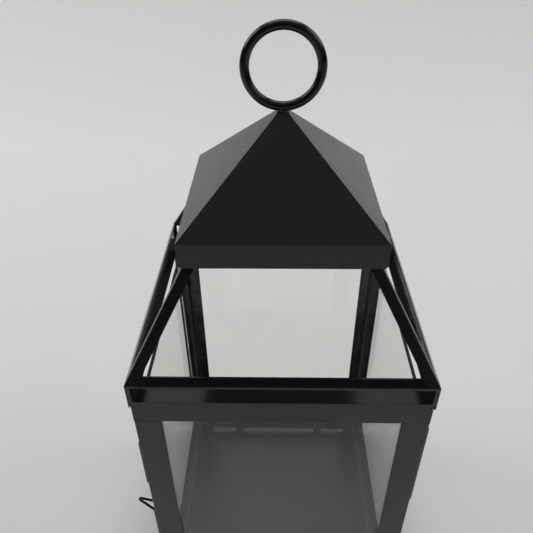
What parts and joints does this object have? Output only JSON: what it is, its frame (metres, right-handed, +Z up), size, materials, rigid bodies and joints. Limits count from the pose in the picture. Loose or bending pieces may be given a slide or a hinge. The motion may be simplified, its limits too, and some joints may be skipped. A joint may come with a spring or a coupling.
{
  "type": "candle lantern",
  "caption": "Square black steel candle lantern with glass sides, a hinged glass side door with a wire latch, an open sloping roof frame, a folded cap and a carrying ring.",
  "frame": {"origin": "middle of the square footprint, on the underside of the base plate", "axes": "+Z up, -Y towards the front, +X to the right, the door is on the left side at -X"},
  "size_m": [0.2164, 0.205, 0.4963],
  "materials": {
    "black_steel": "satin black powder coat",
    "gloss_black_wire": "semi-gloss black paint on round rod",
    "clip_steel": "satin black, thin coat on bent clips",
    "zinc_fastener": "zinc plated",
    "clear_glass": "clear float glass with green edges"
  },
  "bodies": {
    "lantern": {"back_bottom_rail": "black_steel", "back_eave_rail": "black_steel", "back_glass": "clear_glass", "back_glass_clips": "clip_steel", "back_left_hip_bar": "black_steel", "back_left_post": "black_steel", "back_right_hip_bar": "black_steel", "back_right_post": "black_steel", "back_roof_top_rail": "black_steel", "back_top_rail": "black_steel", "base_tray": "black_steel", "cap": "black_steel", "carrying_ring": "gloss_black_wire", "front_bottom_rail": "black_steel", "front_eave_rail": "black_steel", "front_glass": "clear_glass", "front_glass_clips": "clip_steel", "front_left_hip_bar": "black_steel", "front_left_post": "black_steel", "front_right_hip_bar": "black_steel", "front_right_post": "black_steel", "front_roof_top_rail": "black_steel", "front_top_rail": "black_steel", "hinge_pins": "gloss_black_wire", "hinge_post_leaves": "black_steel", "left_bottom_rail": "black_steel", "left_eave_rail": "black_steel", "left_roof_top_rail": "black_steel", "left_top_rail": "black_steel", "right_bottom_rail": "black_steel", "right_eave_rail": "black_steel", "right_glass": "clear_glass", "right_glass_clips": "clip_steel", "right_roof_top_rail": "black_steel", "right_side_frame": "black_steel", "right_top_rail": "black_steel", "ring_stud": "gloss_black_wire", "stud_nut": "zinc_fastener", "stud_washer": "zinc_fastener", "vent_plate": "black_steel"},
    "door": {"door_frame": "black_steel", "door_glass": "clear_glass", "door_glass_clips": "clip_steel", "hinge_door_leaves": "black_steel"},
    "latch": {"latch_wire": "gloss_black_wire"}
  },
  "joints": [
    {"name": "door_hinge", "type": "hinge", "parent": "lantern", "child": "door", "pos_m": [-0.1016, 0.095, 0.15], "axis": [0, 0, -1], "range_deg": [0, 170]},
    {"name": "latch_turn", "type": "hinge", "parent": "door", "child": "latch", "pos_m": [-0.1, -0.089, 0.139], "axis": [1, 0, 0], "range_deg": [0, 90]}
  ]
}
